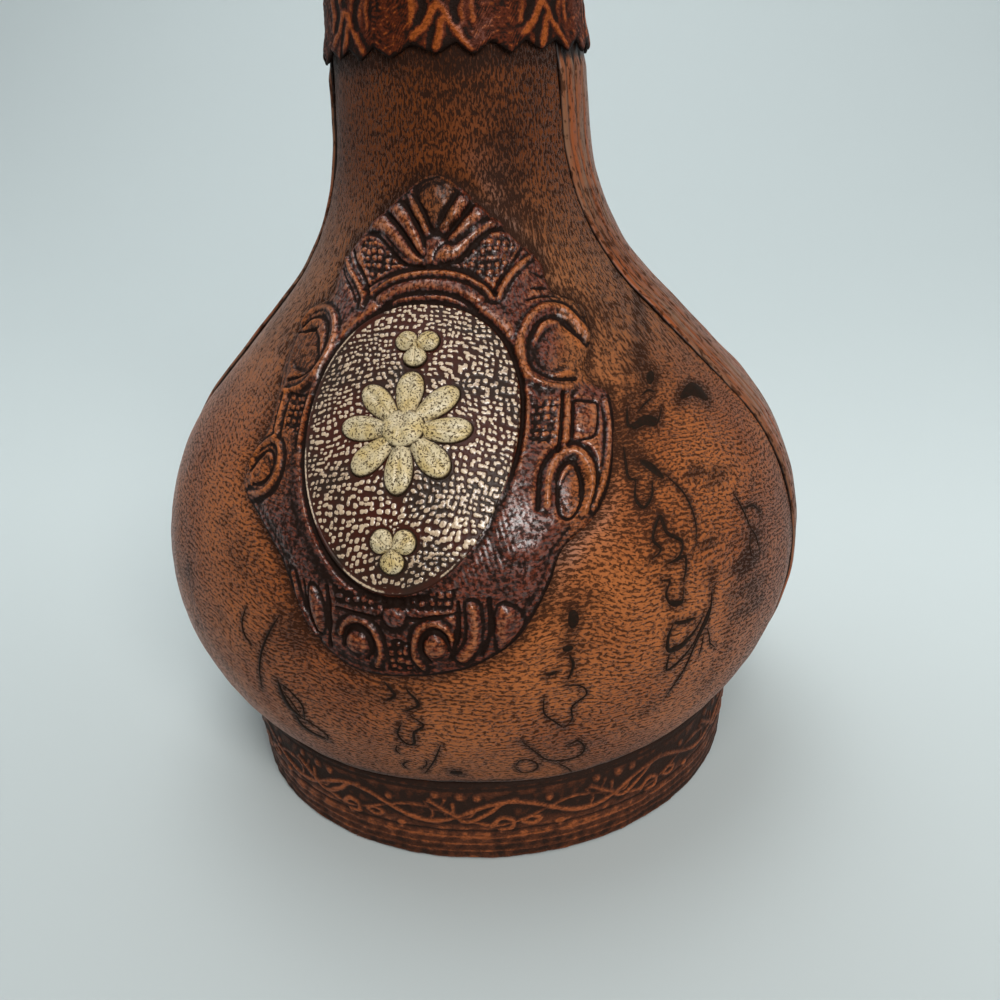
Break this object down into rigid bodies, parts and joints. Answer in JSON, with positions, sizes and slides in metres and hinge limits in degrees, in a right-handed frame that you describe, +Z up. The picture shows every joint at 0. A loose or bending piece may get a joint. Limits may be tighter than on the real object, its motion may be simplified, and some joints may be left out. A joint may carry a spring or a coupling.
{
  "type": "leather-wrapped decanter",
  "caption": "Round-bellied glass decanter in a tooled leather coat, with a raised crest, seam strips, pinked neck collar, leather foot band and a leather-covered stopper that lifts out.",
  "frame": {"origin": "centre of the sole, on the surface the decanter stands on", "axes": "+Z up along the bottle's axis; the raised crest faces -Y; the seam strips lie on +X and -X"},
  "size_m": [0.1502, 0.1505, 0.262],
  "materials": {
    "body_leather": "antiqued tan leather with dark grain, half gloss",
    "strip_leather": "antiqued brown leather with dark edges",
    "crest_leather": "embossed red-brown leather, dark in the hollows",
    "shield_leather": "dark pebbled leather with rubbed cream tops",
    "pale_leather": "cream painted leather with dark specks",
    "collar_leather": "embossed rust leather with dark cut edges",
    "band_leather": "embossed dark brown leather with rust high parts",
    "knob_leather": "antiqued tan leather, stretched smooth",
    "sole_leather": "dull dark sole leather",
    "board": "plain grey-brown board",
    "cork": "natural cork",
    "wood": "plain turned wood",
    "glass": "clear bottle glass with a slight green tint"
  },
  "bodies": {
    "bottle": {"base_sole": "sole_leather", "base_board": "board", "base_ring": "wood", "base_band": "band_leather", "glass_bottle": "glass", "leather_front": "body_leather", "leather_back": "body_leather", "side_strip_left": "strip_leather", "side_strip_right": "strip_leather", "neck_collar": "collar_leather", "lip_roll": "collar_leather", "crest_filler": "board", "crest_frame": "crest_leather", "crest_shield": "shield_leather", "rosette": "pale_leather", "rosette_boss": "pale_leather", "sprig_upper": "pale_leather", "sprig_lower": "pale_leather"},
    "stopper": {"stopper_cork": "cork", "stopper_skirt": "collar_leather", "stopper_knob": "wood", "stopper_dowel": "wood", "stopper_gore_1": "knob_leather", "stopper_gore_2": "knob_leather", "stopper_gore_3": "knob_leather", "stopper_gore_4": "knob_leather", "stopper_button": "collar_leather"}
  },
  "joints": [
    {"name": "stopper_lift", "type": "slide", "parent": "bottle", "child": "stopper", "axis": [0, 0, 1], "range_m": [0, 0.06]}
  ]
}
